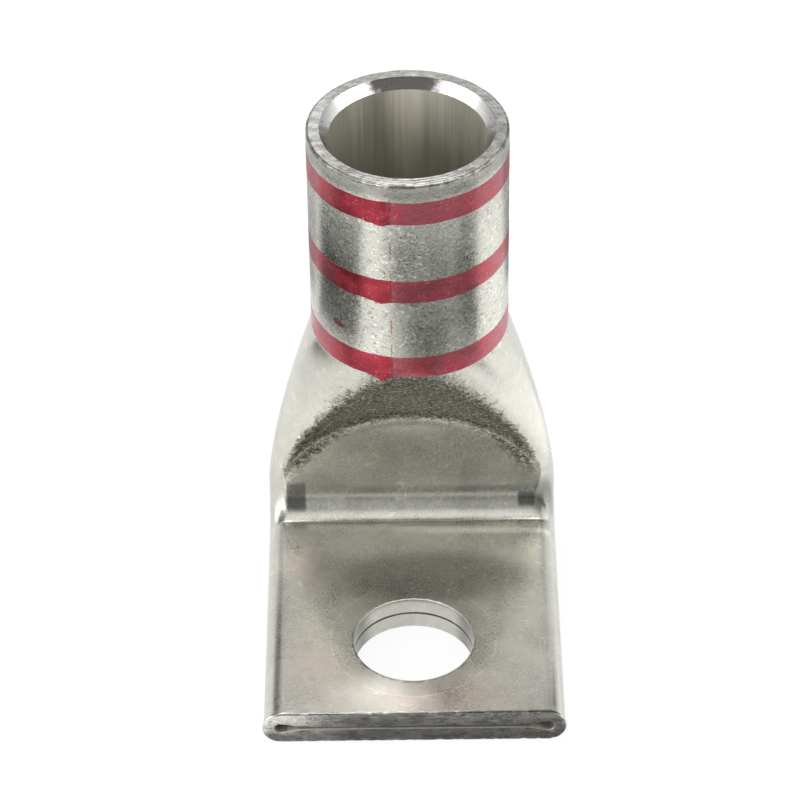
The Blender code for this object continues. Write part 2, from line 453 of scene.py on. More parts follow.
def hole_cutter():
    """A turned cutter through both walls, flared a little where it meets the tongue's faces."""
    bm = bmesh.new()
    angles = [2 * pi * i / HOLE_SIDES for i in range(HOLE_SIDES)]
    rows = []
    for radius, z in hole_profile():
        rows.append([bm.verts.new((radius * cos(a), HOLE_Y + radius * sin(a), z)) for a in angles])
    for upper, lower in zip(rows, rows[1:]):
        for i in range(HOLE_SIDES):
            bm.faces.new((upper[i - 1], lower[i - 1], lower[i], upper[i]))
    bm.faces.new(rows[0])
    bm.faces.new(rows[-1][::-1])
    bmesh.ops.recalc_face_normals(bm, faces=bm.faces)
    mesh = bpy.data.meshes.new("hole_cutter")
    bm.to_mesh(mesh)
    bm.free()
    return link("hole_cutter", mesh)


def link(name, mesh):
    obj = bpy.data.objects.new(name, mesh)
    bpy.context.scene.collection.objects.link(obj)
    return obj


def applied(obj):
    """The object with its modifiers made real."""
    graph = bpy.context.evaluated_depsgraph_get()
    mesh = bpy.data.meshes.new_from_object(obj.evaluated_get(graph))
    obj.modifiers.clear()
    obj.data = mesh
    return obj


def smoothed(mesh):
    """The mesh with smooth shading, apart from its sharp edges."""
    mesh.shade_smooth()
    mesh.set_sharp_from_angle(angle=SHARP_ANGLE)
    return mesh


def make_lug():
    lug = link("tinned_lug", lug_mesh())
    for material in (tin_plate(), polished_tin(), sawn_tin(), bore_tin()):
        lug.data.materials.append(material)
    cutter = hole_cutter()
    pierce = lug.modifiers.new("stud_hole", "BOOLEAN")
    pierce.operation = "DIFFERENCE"
    pierce.solver = "EXACT"
    pierce.object = cutter
    applied(lug)
    bpy.data.objects.remove(cutter)
    smoothed(lug.data)
    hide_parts("lug_body")
    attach(lug, "root")


def film_ring(top, seed, run_length, share):
    """One ring of the ink film, at this share of the band's width, with its uneven edge and its run."""
    distance = top + BAND_WIDTH * share
    points = ring(distance, outer_section(distance, -INK_FILM))
    around = around_barrel(points)
    edge = INK_EDGE * mix(1, -1, share) * ripple(around, seed + round(share), 9 * MM, 1.1 * MM)
    overlap = plateau(around, OVERLAP_START, SEAM, OVERLAP_FADE) * OVERLAP_DROP
    run = overlap + bell(around, RUN_PLACE, RUN_WIDTH) * run_length
    points[:, 2] += abs(2 * share - 1) ** 4 * edge - share**6 * run
    return points


def ink_band(name, top, seed, run_length):
    """A thin film of ink round the tube, with uneven edges and a run of ink where its ends overlap."""
    film = [film_ring(top, seed, run_length, share) for share in np.linspace(0, 1, INK_STEPS)]
    under = [ring(edge, outer_section(edge, 2 * INK_FILM)) for edge in (top + BAND_WIDTH, top)]
    rings = film + under
    count = len(rings[0])
    faces = [(loft(rings, 0), 0), (strip((len(rings) - 1) * count, 0, count), 0)]
    return link(name, smoothed(closed_mesh(name, rings, faces)))


def make_ink():
    ink = red_ink()
    pitch = (BARREL_LENGTH - BAND_MARGIN - BAND_WIDTH) / (BAND_COUNT - 1)
    for i in range(BAND_COUNT):
        seed = INK_SEED + INK_SEED_STEP * i
        band = ink_band(f"ink_band_{i + 1}", BAND_MARGIN + pitch * i, seed, INK_RUNS[i])
        band.data.materials.append(ink)
        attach(band, "root")


class Nodes:
    """Short calls for a material's nodes, in the part's own coordinates (metres)."""

    def __init__(self, name):
        self.material = bpy.data.materials.new(name)
        self.material.use_nodes = True
        self.tree = self.material.node_tree
        self.shader = self.tree.nodes["Principled BSDF"]
        self.place = self.add("ShaderNodeTexCoord").outputs["Object"]

    def add(self, kind, **settings):
        node = self.tree.nodes.new(kind)
        for name, value in settings.items():
            setattr(node, name, value)
        return node

    def feed(self, socket, value):
        if isinstance(value, bpy.types.NodeSocket):
            self.tree.links.new(value, socket)
        else:
            socket.default_value = value

    def math(self, operation, a, b=0.0):
        node = self.add("ShaderNodeMath", operation=operation)
        self.feed(node.inputs[0], a)
        self.feed(node.inputs[1], b)
        return node.outputs[0]

    def times(self, *values):
        product = values[0]
        for value in values[1:]:
            product = self.math("MULTIPLY", product, value)
        return product

    def plus(self, *values):
        total = values[0]
        for value in values[1:]:
            total = self.math("ADD", total, value)
        return total

    def minus(self, a, b):
        return self.math("SUBTRACT", a, b)

    def larger(self, a, b):
        return self.math("MAXIMUM", a, b)

    def squared(self, value):
        return self.math("POWER", value, 2.0)

    def radius(self, x, y):
        return self.math("SQRT", self.plus(self.squared(x), self.squared(y)))

    def fade(self, value, low, high, to_low=0.0, to_high=1.0):
        """A smooth step from to_low, at low, to to_high, at high."""
        node = self.add("ShaderNodeMapRange", interpolation_type="SMOOTHSTEP")
        for socket, given in zip(("Value", "From Min", "From Max", "To Min", "To Max"),
                                 (value, low, high, to_low, to_high)):
            self.feed(node.inputs[socket], given)
        return node.outputs["Result"]

    def fall(self, value, low, high):
        """1 at low, falling smoothly to 0 at high."""
        return self.fade(value, low, high, 1, 0)

    def vary(self, noise, low, high):
        """The range that a noise mostly keeps to, turned into low to high."""
        return self.fade(noise, 0.3, 0.7, low, high)

    def toned(self, tone, share, factor):
        """The tone, times the factor where the share is 1."""
        return self.times(tone, self.fade(share, 0, 1, 1, factor))

    def axis(self, name, vector=None):
        node = self.add("ShaderNodeSeparateXYZ")
        self.feed(node.inputs[0], vector or self.place)
        return node.outputs[name]

    def noise(self, grain, detail=2.0, stretch=(1, 1, 1), turn=(0, 0, 0), shift=0.0, warp=0.0):
        """Noise whose grain is this long, longer along an axis whose stretch is above 1."""
        mapping = self.add("ShaderNodeMapping")
        self.feed(mapping.inputs["Vector"], self.place)
        mapping.inputs["Rotation"].default_value = [radians(angle) for angle in turn]
        mapping.inputs["Scale"].default_value = [1 / (grain * length) for length in stretch]
        mapping.inputs["Location"].default_value = (shift, shift, shift)
        return self.noise_at(mapping.outputs[0], detail, warp)

    def noise_at(self, place, detail=2.0, warp=0.0):
        node = self.add("ShaderNodeTexNoise")
        self.feed(node.inputs["Vector"], place)
        node.inputs["Scale"].default_value = 1.0
        node.inputs["Detail"].default_value = detail
        node.inputs["Distortion"].default_value = warp
        return node.outputs["Fac"]

    def near(self, centre, size, soft):
        """1 inside an ellipsoid about the centre, fading to 0 at its edge."""
        away = self.add("ShaderNodeVectorMath", operation="SUBTRACT")
        self.feed(away.inputs[0], self.place)
        away.inputs[1].default_value = centre
        share = self.add("ShaderNodeVectorMath", operation="DIVIDE")
        self.feed(share.inputs[0], away.outputs[0])
        share.inputs[1].default_value = size
        length = self.add("ShaderNodeVectorMath", operation="LENGTH")
        self.feed(length.inputs[0], share.outputs[0])
        return self.fall(length.outputs["Value"], 1 - soft, 1)

    def between(self, value, low, high, soft):
        """1 where the value is between low and high, with soft edges."""
        rise = self.fade(value, low - soft, low + soft)
        return self.times(rise, self.fall(value, high - soft, high + soft))

    def hairs(self, grain, width, amount, shift, stretch=(1, 1, 1), turn=(0, 0, 0)):
        """Short curved hair lines: the level lines of one noise, broken up by another."""
        waves = self.noise(grain, 1, stretch, turn, shift)
        line = self.fall(self.math("ABSOLUTE", self.minus(waves, 0.5)), 0.0, width)
        breaks = self.noise(grain * 0.55, 1, shift=shift + 7)
        return self.times(line, self.fade(breaks, amount, amount + 0.05))

    def blend(self, share, first, second):
        node = self.add("ShaderNodeMix", data_type="RGBA")
        self.feed(node.inputs[0], share)
        self.feed(node.inputs[6], first)
        self.feed(node.inputs[7], second)
        return node.outputs[2]

    def shaded(self, colour, factor):
        """The colour made lighter or darker by a factor."""
        node = self.add("ShaderNodeVectorMath", operation="SCALE")
        self.feed(node.inputs[0], colour)
        self.feed(node.inputs["Scale"], factor)
        return node.outputs[0]

    def bump(self, height, depth):
        node = self.add("ShaderNodeBump")
        node.inputs["Strength"].default_value = 1.0
        node.inputs["Distance"].default_value = depth
        self.feed(node.inputs["Height"], height)
        return node.outputs[0]

    def finish(self, colour, metallic, roughness, normal):
        self.feed(self.shader.inputs["Base Color"], colour)
        self.shader.inputs["Metallic"].default_value = metallic
        self.feed(self.shader.inputs["Roughness"], roughness)
        self.feed(self.shader.inputs["Normal"], normal)
        return self.material


PLAIN_TIN = (0.61, 0.605, 0.56, 1)
OLIVE_TIN = (0.6, 0.59, 0.51, 1)
WARM_TIN = (0.64, 0.58, 0.53, 1)
STRAY_INK = (0.42, 0.03, 0.05, 1)

# Places on the tin, as the centre and the half sizes of an ellipsoid.
HANDLED_PLACE = mm(-0.5, 1, 45), mm(9, 12, 26)
BEND_END_SHADE_PLACE = mm(17, 9.5, 7), mm(3.2, 4, 4)
REFLECTION_PATCH_PLACE = (-3.5 * MM, low.y + 3 * MM, TONGUE_THICKNESS), mm(8, 7, 3)
DARK_REFLECTION_PLACE = mm(2.5, -1.6, 4.5), mm(16.5, 6.6, 3)
SHINE_HIGHLIGHT_PLACE = mm(-14.5, 2, 4.5), mm(4, 6, 3)
SMEAR_PLACE = mm(-8.5, 4.5, 38.9), mm(1.2, 3, 0.7)
SMEAR_LIMIT = mm(-8.5, 4.5, 38.9), mm(1.5, 3, 0.9)
WARM_PLACES = (
    ((-12 * MM, HOLE_Y - 3 * MM, TONGUE_THICKNESS), mm(8, 9, 3)),
    ((2 * MM, low.y + 2.5 * MM, TONGUE_THICKNESS), mm(11, 3.5, 3)),
    (mm(-12.5, 0.5, 4.5), mm(4.5, 6, 3)),
    (mm(-15, 2.5, 4.5), mm(3, 5, 3)),
    (mm(-0.5, 11.3, 17.5), mm(4, 3, 3)),
)


class TinPlate(Nodes):
    """The plated outside: the grains and zones that its looks are mixed from."""

    def __init__(self):
        super().__init__("tin_plate")
        self.x, self.y, self.z = (self.axis(name) for name in "XYZ")
        self.from_middle = self.math("ABSOLUTE", self.x)
        facing = self.add("ShaderNodeNewGeometry").outputs["Normal"]
        self.backward, self.upward = self.axis("Y", facing), self.axis("Z", facing)
        self.make_grains()
        self.make_zones()
        self.make_tongue_zones()

    def make_grains(self):
        self.clouds = self.noise(5 * MM, 3)
        self.mottle = self.noise(1.1 * MM, 3, shift=3.0)
        self.grain = self.noise(0.3 * MM, 2)
        self.fine = self.noise(0.13 * MM, 1, shift=5.0)
        self.drawn = self.noise(0.16 * MM, 2, stretch=(1, 1, 40), shift=9.0)
        self.strokes = self.noise(0.16 * MM, 2, stretch=(3, 3, 1), shift=15.0)
        self.pits = self.noise(0.32 * MM, 3, shift=19.0, warp=1.5)
        self.bright_hairs = self.hairs(0.75 * MM, 0.05, 0.5, 11.0, (1.7, 1.7, 1), (0, 12, 0))
        self.dark_hairs = self.hairs(0.85 * MM, 0.045, 0.5, 23.0, (1.8, 1.8, 1), (0, -8, 0))
        few = self.hairs(2.4 * MM, 0.025, 0.55, 31.0)
        self.few_hairs = self.times(few, self.fade(self.clouds, 0.45, 0.6))

    def make_zones(self):
        self.upper = self.fade(self.z, *mm(9, 13))
        self.arch_shade_and_pits = self.arch_shade_and_pits_mask()
        self.barrel = self.fade(self.z, BARREL_FOOT_Z - 1 * MM, BARREL_FOOT_Z)
        handled = self.times(self.barrel, self.near(*HANDLED_PLACE, 0.8))
        self.rough = self.larger(self.arch_shade_and_pits, self.larger(self.times(self.barrel, 0.6), handled))
        front = self.fall(self.y, *mm(11.8, 12.6))
        self.in_press = self.times(self.upper, front, self.fall(self.z, *mm(22, 30)))

    def arch_shade_and_pits_mask(self):
        """1 on the pressed ramp that faces down and just past its foot, with a ragged edge, on the front
        alone: where the painted shade and the pits go.
        """
        ragged = self.fade(self.noise(0.9 * MM, 4, shift=6.0), 0.25, 0.75, -0.15, 0.15)
        facing_down = self.fall(self.plus(self.upward, ragged), -0.56, -0.02)
        on_ramp = self.times(facing_down, self.upper, self.fall(self.z, *mm(34, 36)))
        level_face = self.fall(self.backward, -0.98, -0.9)
        arch_shade_and_pits = self.larger(on_ramp, self.times(self.shade_past_ramp_foot(ragged), level_face, 0.85))
        return self.times(arch_shade_and_pits, self.fall(self.backward, -0.35, -0.05))

    def shade_past_ramp_foot(self, ragged):
        """A belt of painted shade on the flat face beyond the ramp's round foot, on either side of the
        middle.
        """
        off_axis = self.squared(self.times(self.x, 1 / NOSE_HALF_WIDTH))
        arc = self.math("SQRT", self.larger(self.minus(1.0, off_axis), 0.0))
        rim = self.plus(BARREL_FOOT_Z - NOSE_DEPTH, self.times(arc, NOSE_DEPTH))
        wider = self.times(self.squared(self.times(self.x, 1 / (12 * MM))), 2.6 * MM)
        reach = self.plus(RAMP_LENGTH + 1 * MM, wider)
        beyond = self.plus(self.minus(reach, self.minus(rim, self.z)), self.times(ragged, 5 * MM))
        on_face = self.times(self.fade(self.y, *mm(10.9, 11.2)), self.fall(self.y, *mm(11.6, 12)))
        belt = self.times(self.fade(beyond, 0.0, 2.4 * MM), on_face, self.upper)
        return self.times(belt, self.fade(self.from_middle, *mm(3, 9)), self.fall(self.z, *mm(30, 32)))

    def make_tongue_zones(self):
        self.on_top = self.times(self.fade(self.z, *mm(3.9, 4.3)), self.fall(self.z, *mm(4.8, 5.4)))
        self.from_hole = self.radius(self.x, self.minus(self.y, HOLE_Y))
        ring_edge = self.between(self.from_hole, *mm(9.8, 9.98, 0.08))
        self.washer_ring = self.times(ring_edge, self.on_top, self.fade(self.clouds, 0.35, 0.55, 0.2, 1))
        # Where the painted reflection near the cut end goes; it is also rougher there.
        self.reflection_patch = self.near(*REFLECTION_PATCH_PLACE, 0.9)

    def base_tone(self):
        """The lightness of plain and handled tin, and of the pitted arch, which painted shade darkens."""
        tone = self.plus(self.vary(self.clouds, 0.95, 1.05), self.vary(self.mottle, -0.05, 0.05))
        speckle = self.plus(self.vary(self.grain, -0.05, 0.05), self.vary(self.strokes, -0.07, 0.07))
        tone = self.plus(tone, self.times(speckle, self.fade(self.rough, 0, 1, 0.35, 1.2)))
        light = self.plus(self.times(self.bright_hairs, self.rough, 0.7), self.times(self.few_hairs, 0.3))
        tone = self.plus(tone, light, self.times(self.dark_hairs, self.rough, -0.6))
        flecks = self.plus(self.times(self.bright_hairs, 0.9), self.fade(self.pits, 0.42, 0.64, -0.25, 0.6))
        # Painted shade: the arch under the ramp is darkened to 0.3 of its tone, with pits and bright flecks
        # over it.
        return self.plus(self.toned(tone, self.arch_shade_and_pits, 0.3), self.times(self.arch_shade_and_pits, flecks))

    def die_mark(self, mark, side_soft, end_soft):
        span, _, heights = mark
        return self.times(self.between(self.x, *span, side_soft), self.between(self.z, *heights, end_soft))

    def with_bend_marks(self, tone):
        """The tone with the die's two dark corner marks, and painted shade over the bend's right end."""
        left = self.die_mark(LEFT_MARK, *mm(0.3, 0.5))
        right = self.die_mark(RIGHT_MARK, *mm(0.25, 0.4))
        marks = self.times(self.larger(left, right), self.between(self.y, *mm(8, 13, 0.5)))
        tone = self.toned(tone, marks, self.fade(self.z, *mm(6.6, 8), 0.3, 0.5))
        # Painted shade over the bend's right end.
        return self.toned(tone, self.near(*BEND_END_SHADE_PLACE, 0.6), 0.45)

    def with_tongue_reflections(self, tone):
        """The tone with the tongue's painted highlights and reflections: a bright line past the bend, a
        bright painted reflection near the cut end, a darker painted reflection beyond the bend with flecks in
        it, and a painted shine on the left.
        """
        strip_end = self.fade(self.x, *mm(-5, 9))
        bend_line_highlight = self.times(self.between(self.y, *mm(6.3, 7.1, 0.3)), self.on_top, strip_end)
        # Painted highlight along the line past the bend, and a painted reflection near the cut end.
        tone = self.plus(tone, self.times(bend_line_highlight, 0.45), self.times(self.reflection_patch, 0.45))
        # Painted reflection: a darker zone on the tongue beyond the bend.
        dark_reflection = self.times(self.near(*DARK_REFLECTION_PLACE, 0.65), self.on_top)
        tone = self.toned(self.toned(tone, dark_reflection, 0.57), self.on_top, 0.94)
        flecks = self.plus(self.times(self.bright_hairs, 0.2), self.fade(self.grain, 0.45, 0.7, 0, 0.12))
        tone = self.plus(tone, self.times(dark_reflection, flecks))
        # Painted highlight on the tongue's left, near the bend.
        return self.plus(tone, self.times(self.near(*SHINE_HIGHLIGHT_PLACE, 0.9), self.on_top, 0.4))

    def with_painted_edge_shade(self, tone):
        """The tone with painted shade on the hole wall, darkest at its sides, on the lip, on the belt below
        the lip, and on the upper edge of the cut end.
        """
        in_hole = self.times(self.fall(self.from_hole, *mm(7.2, 7.3)), self.fall(self.z, *mm(4.3, 4.4)))
        wall = self.times(in_hole, self.fade(self.from_middle, *mm(4.6, 6.8), 0.3, 1))
        lip = self.fade(self.z, MOUTH_Z - 0.6 * MM, MOUTH_Z - 0.25 * MM)
        lip = self.times(lip, self.fade(self.mottle, 0.4, 0.6, 1, 0.35))
        # Painted shade on the hole wall and the lip.
        tone = self.toned(self.toned(tone, wall, 0.4), lip, 0.45)
        # Painted shade on the belt below the lip.
        tone = self.times(tone, self.fade(self.z, MOUTH_Z - 2.6 * MM, MOUTH_Z - 1.4 * MM, 1, 0.6))
        # Painted shade on the upper edge of the cut end, broken up by noise.
        end = self.fall(self.y, low.y + 0.1 * MM, low.y + 0.5 * MM)
        end = self.times(end, self.fade(self.z, *mm(4, 4.3)))
        broken = self.fade(self.noise(1.5 * MM, 2, shift=13.0), 0.5, 0.6, 1, 0.4)
        return self.toned(tone, self.times(end, broken), 0.45)

    def tone(self):
        """How light each place is beside the plain colour."""
        tone = self.plus(self.base_tone(), self.times(self.washer_ring, 0.22))
        tone = self.with_painted_edge_shade(self.with_tongue_reflections(self.with_bend_marks(tone)))
        # Painted light: the pressed flat face is made 12% lighter.
        flat_face_light = self.times(self.in_press, self.fall(self.arch_shade_and_pits, 0, 1))
        return self.toned(tone, flat_face_light, 1.12)

    def stray_ink(self):
        """A thin red line down the seam, and a small smear above the lowest band."""
        line = self.times(self.between(self.x, *mm(-2.25, -2.1, 0.05)), self.fall(self.y, *mm(4, 5)))
        breaks = self.fade(self.noise(2.2 * MM, 1, stretch=(9, 9, 1), shift=2.0), 0.45, 0.6, 0, 0.7)
        line = self.times(line, self.barrel, breaks)
        smear = self.plus(self.near(*SMEAR_PLACE, 0.7), self.fade(self.mottle, 0.2, 0.8, -0.4, 0.4))
        smear = self.times(self.fade(smear, 0.35, 0.5), self.near(*SMEAR_LIMIT, 0.2))
        return self.larger(line, self.times(smear, 0.75))

    def colour(self):
        """Tin that is olive in patches and warm in a few places, with stray ink on it."""
        olive = self.times(self.fade(self.mottle, 0.35, 0.6), self.fade(self.in_press, 0, 1, 0.45, 1))
        colour = self.blend(olive, PLAIN_TIN, OLIVE_TIN)
        warmth = self.plus(*(self.near(*place, 0.9) for place in WARM_PLACES))
        warmth = self.times(warmth, self.fade(self.clouds, 0.3, 0.65, 0.3, 1.0))
        return self.blend(self.stray_ink(), self.blend(warmth, colour, WARM_TIN), STRAY_INK)

    def relief(self):
        """Height of the grain, pits, hair lines, ring edge, strokes and the rolled lip."""
        rolled = self.noise(0.22 * MM, 2, stretch=(10, 10, 1), shift=17.0)
        lip = self.fade(self.z, MOUTH_Z - 1.5 * MM, MOUTH_Z - 0.6 * MM)
        return self.plus(
            self.times(self.grain, self.fade(self.rough, 0, 1, 0.3, 1)),
            self.times(self.fine, self.fade(self.rough, 0, 1, 0.06, 0.3)),
            self.times(self.drawn, self.barrel, 0.25),
            self.times(self.arch_shade_and_pits, self.pits, 3.0),
            self.times(self.bright_hairs, self.rough, 0.8),
            self.times(self.few_hairs, 0.8),
            self.times(self.dark_hairs, self.rough, -0.8),
            self.times(self.washer_ring, 0.8),
            self.times(self.mottle, 0.7),
            self.times(self.strokes, self.rough, 0.6),
            self.times(rolled, lip, 4.0),
        )

    def roughness(self):
        return self.plus(
            self.vary(self.clouds, 0.19, 0.24),
            self.vary(self.grain, 0.0, 0.08),
            self.times(self.rough, 0.04),
            self.times(self.on_top, 0.05),
            self.times(self.reflection_patch, self.on_top, 0.16),
        )


def tin_plate():
    n = TinPlate()
    return n.finish(n.shaded(n.colour(), n.tone()), 1.0, n.roughness(), n.bump(n.relief(), TIN_RELIEF))


def polished_tin():
    """The chamfer, turned smooth, with fine turning lines, a few specks, painted shade towards its ends and a
    painted dark reflection at the back.
    """
    n = Nodes("polished_tin")
    turned = n.noise(0.09 * MM, 2, stretch=(30, 30, 1))
    specks = n.fade(n.noise(0.35 * MM, 2, shift=4.0), 0.6, 0.68)
    edge = n.fade(n.axis("Z"), MOUTH_Z - 0.2 * MM, MOUTH_Z)
    tone = n.plus(n.vary(turned, 0.93, 1.05), n.times(specks, -0.25), n.times(edge, -0.15))
    # Painted shade: the chamfer darker towards its left and right ends.
    tone = n.times(tone, n.fade(n.math("ABSOLUTE", n.axis("X")), *mm(7.8, 10.1), 1, 0.45))
    colour = n.blend(n.fade(n.noise(3 * MM, 2), 0.4, 0.7), (0.86, 0.86, 0.85, 1), (0.84, 0.81, 0.79, 1))
    # Painted reflection: a dark patch at the back of the chamfer.
    chamfer_dark_reflection = n.near((-0.4 * MM, high.y - 2 * MM, MOUTH_Z), mm(6.5, 4, 4), 0.75)
    chamfer_dark_reflection = n.plus(chamfer_dark_reflection, n.vary(n.noise(0.7 * MM, 3, shift=9.0), -0.12, 0.12))
    colour = n.blend(n.fade(chamfer_dark_reflection, 0.15, 0.7), colour, (0.13, 0.12, 0.115, 1))
    roughness = n.plus(n.vary(turned, 0.1, 0.16), n.times(specks, 0.2))
    height = n.plus(turned, n.times(specks, -1.5))
    return n.finish(n.shaded(colour, tone), 1.0, roughness, n.bump(height, 0.006 * MM))


def turned_strokes(n, x, y, radius):
    """Noise drawn out round the barrel's axis, as a turning tool leaves it."""
    turned = n.add("ShaderNodeCombineXYZ")
    n.feed(turned.inputs["X"], n.times(radius, 1 / (0.1 * MM)))
    n.feed(turned.inputs["Y"], n.times(n.math("ARCTAN2", x, n.times(y, -1.0)), RADIUS / (1.1 * MM)))
    n.feed(turned.inputs["Z"], n.times(n.axis("Z"), 1 / (0.12 * MM)))
    return n.noise_at(turned.outputs[0])


def sawn_tin():
    """The cut faces: coarse tool marks under the plating, with painted light on the left and painted shade
    towards the front.
    """
    n = Nodes("sawn_tin")
    x, y = n.axis("X"), n.minus(n.axis("Y"), AXIS_Y)
    radius = n.radius(x, y)
    wobble = n.times(n.noise(2.5 * MM, 2), 0.35 * MM)
    rings = n.math("SINE", n.times(n.plus(radius, wobble), 2 * pi / (0.42 * MM)))
    coarse = n.noise(0.6 * MM, 3, stretch=(2.5, 1, 1), shift=2.0)
    strokes = turned_strokes(n, x, y, radius)
    tone = n.plus(n.vary(coarse, 0.72, 1.05), n.vary(strokes, -0.2, 0.2))
    # Painted light on the left of the cut faces, and painted shade towards the front.
    tone = n.times(tone, n.fade(x, *mm(-11, -7), 1.35, n.fade(y, *mm(-8, 6), 0.8, 0.9)))
    colour = n.blend(n.noise(1.6 * MM, 2), (0.64, 0.63, 0.61, 1), (0.58, 0.57, 0.52, 1))
    height = n.plus(n.times(rings, 0.4), n.times(coarse, 1.6), n.times(strokes, 1.2))
    return n.finish(n.shaded(colour, tone), 1.0, n.vary(coarse, 0.24, 0.36), n.bump(height, 0.03 * MM))


def bore_tin():
    """The bore, drawn lengthwise: duller, with long fine lines and a painted highlight streak at the back."""
    n = Nodes("bore_tin")
    drawn = n.noise(0.35 * MM, 3, stretch=(1, 1, 60))
    clouds = n.noise(3 * MM, 2, stretch=(1, 1, 3), shift=4.0)
    # Painted highlight: a bright streak on the bore's back wall.
    highlight_streak = n.near((-0.4 * MM, high.y, MOUTH_Z + 1 * MM), mm(3.6, 12, 19), 0.9)
    tone = n.plus(n.vary(drawn, 0.93, 1.07), n.vary(clouds, -0.06, 0.06))
    colour = n.blend(highlight_streak, (0.4, 0.385, 0.32, 1), (1.0, 0.95, 0.8, 1))
    n.shader.inputs["Anisotropic"].default_value = 0.8
    n.shader.inputs["Anisotropic Rotation"].default_value = 0.25
    tangent = n.add("ShaderNodeTangent", direction_type="RADIAL", axis="Z")
    n.feed(n.shader.inputs["Tangent"], tangent.outputs["Tangent"])
    return n.finish(n.shaded(colour, tone), 0.65, n.vary(drawn, 0.45, 0.52), n.bump(drawn, 0.004 * MM))


DEEP_INK = (0.26, 0.024, 0.038, 1)
THIN_INK = (0.38, 0.095, 0.118, 1)
BRIGHT_INK = (0.5, 0.05, 0.07, 1)
WORN_INK = (0.6, 0.42, 0.43, 1)


def red_ink():
    """Thin red ink: deep before the seam, thinner and paler past it, worn to the metal in specks."""
    n = Nodes("red_ink")
    x = n.axis("X")
    front = n.fall(n.axis("Y"), AXIS_Y, AXIS_Y + 2 * MM)
    ragged = n.plus(x, n.times(n.noise(0.9 * MM, 2, shift=12.0), 1.2 * MM))
    thick = n.times(n.fade(ragged, *mm(-9, -7)), n.fall(ragged, *mm(-2, -1.3)), front)
    clouds = n.noise(2.5 * MM, 3)
    grain = n.noise(0.28 * MM, 2, shift=3.0)
    brushed = n.noise(0.2 * MM, 2, stretch=(8, 8, 1), shift=8.0)
    colour = n.blend(thick, THIN_INK, DEEP_INK)
    colour = n.blend(n.times(n.fade(clouds, 0.4, 0.65), 0.5), colour, BRIGHT_INK)
    seam = n.times(n.between(x, *mm(-2.3, -2.05, 0.06)), front)
    worn = n.plus(n.fade(grain, 0.66, 0.72), n.times(n.hairs(0.9 * MM, 0.014, 0.58, 11.0), 0.9))
    worn = n.times(worn, n.fade(clouds, 0.35, 0.6))
    tone = n.plus(n.vary(brushed, 0.88, 1.12), n.vary(grain, -0.12, 0.12), n.times(seam, -0.3))
    colour = n.blend(n.times(n.math("MINIMUM", worn, 1.0), 0.55), n.shaded(colour, tone), WORN_INK)
    roughness = n.plus(n.vary(clouds, 0.24, 0.34), n.times(worn, 0.05))
    height = n.plus(grain, n.times(brushed, 0.5), n.times(worn, -0.6))
    return n.finish(colour, 0.8, roughness, n.bump(height, TIN_RELIEF))


def area_lamp(name, place, size, power):
    """A soft rectangular lamp that looks at the lug."""
    light = bpy.data.lights.new(name, "AREA")
    light.shape = "RECTANGLE"
    light.size, light.size_y = size
    light.energy = power
    lamp = bpy.data.objects.new(name, light)
    lamp.location = place
    lamp.rotation_euler = (LAMP_TARGET - Vector(place)).to_track_quat("-Z", "Y").to_euler()
    bpy.context.scene.collection.objects.link(lamp)


def seen_directly(tree):
    """A node socket that is 1 for the camera, for reflections and through glass, and 0 for other light."""
    path = tree.nodes.new("ShaderNodeLightPath")
    socket = path.outputs["Is Camera Ray"]
    for other in ("Is Glossy Ray", "Is Transmission Ray"):
        either = tree.nodes.new("ShaderNodeMath")
        either.operation = "MAXIMUM"
        tree.links.new(socket, either.inputs[0])
        tree.links.new(path.outputs[other], either.inputs[1])
        socket = either.outputs[0]
    return socket


def scaled(tree, socket, low, high):
    """The socket's 0 to 1 turned into low to high."""
    node = tree.nodes.new("ShaderNodeMapRange")
    node.inputs["To Min"].default_value = low
    node.inputs["To Max"].default_value = high
    tree.links.new(socket, node.inputs["Value"])
    return node.outputs["Result"]


def make_world():
    """A white sky for the camera and for reflections, and a softer one for other light."""
    world = bpy.data.worlds.new("studio")
    bpy.context.scene.world = world
    world.use_nodes = True
    tree = world.node_tree
    background = tree.nodes["Background"]
    background.inputs["Color"].default_value = (1, 1, 1, 1)
    tree.links.new(scaled(tree, seen_directly(tree), 0.7, 1.0), background.inputs["Strength"])


def emptied_material(name):
    """A material without its shader: its node tree and the socket that the surface goes to."""
    material = bpy.data.materials.new(name)
    material.use_nodes = True
    tree = material.node_tree
    tree.nodes.remove(tree.nodes["Principled BSDF"])
    return material, tree, tree.nodes["Material Output"].inputs["Surface"]


def pale_floor():
    material, tree, surface = emptied_material("pale_floor")
    paint = tree.nodes.new("ShaderNodeBsdfDiffuse")
    paint.inputs["Color"].default_value = (0.9, 0.9, 0.9, 1)
    glow = tree.nodes.new("ShaderNodeEmission")
    blend = tree.nodes.new("ShaderNodeMixShader")
    tree.links.new(scaled(tree, seen_directly(tree), 0.0, 0.86), blend.inputs["Fac"])
    tree.links.new(paint.outputs[0], blend.inputs[1])
    tree.links.new(glow.outputs[0], blend.inputs[2])
    tree.links.new(blend.outputs[0], surface)
    return material


def make_floor():
    """A plain floor that reads white to the camera and in reflections, and keeps a soft shadow."""
    half = 3.0
    mesh = bpy.data.meshes.new("floor")
    corners = [(-half, -half, 0), (half, -half, 0), (half, half, 0), (-half, half, 0)]
    mesh.from_pydata(corners, [], [(0, 1, 2, 3)])
    floor = link("floor", mesh)
    floor.location.z = -0.02 * MM
    floor.data.materials.append(pale_floor())


def card_mesh(name, near, far):
    """A bent card between two rows of points."""
    count = len(near)
    faces = [(i, i + 1, count + i + 1, count + i) for i in range(count - 1)]
    mesh = bpy.data.meshes.new(name)
    mesh.from_pydata(near + far, [], faces)
    return mesh


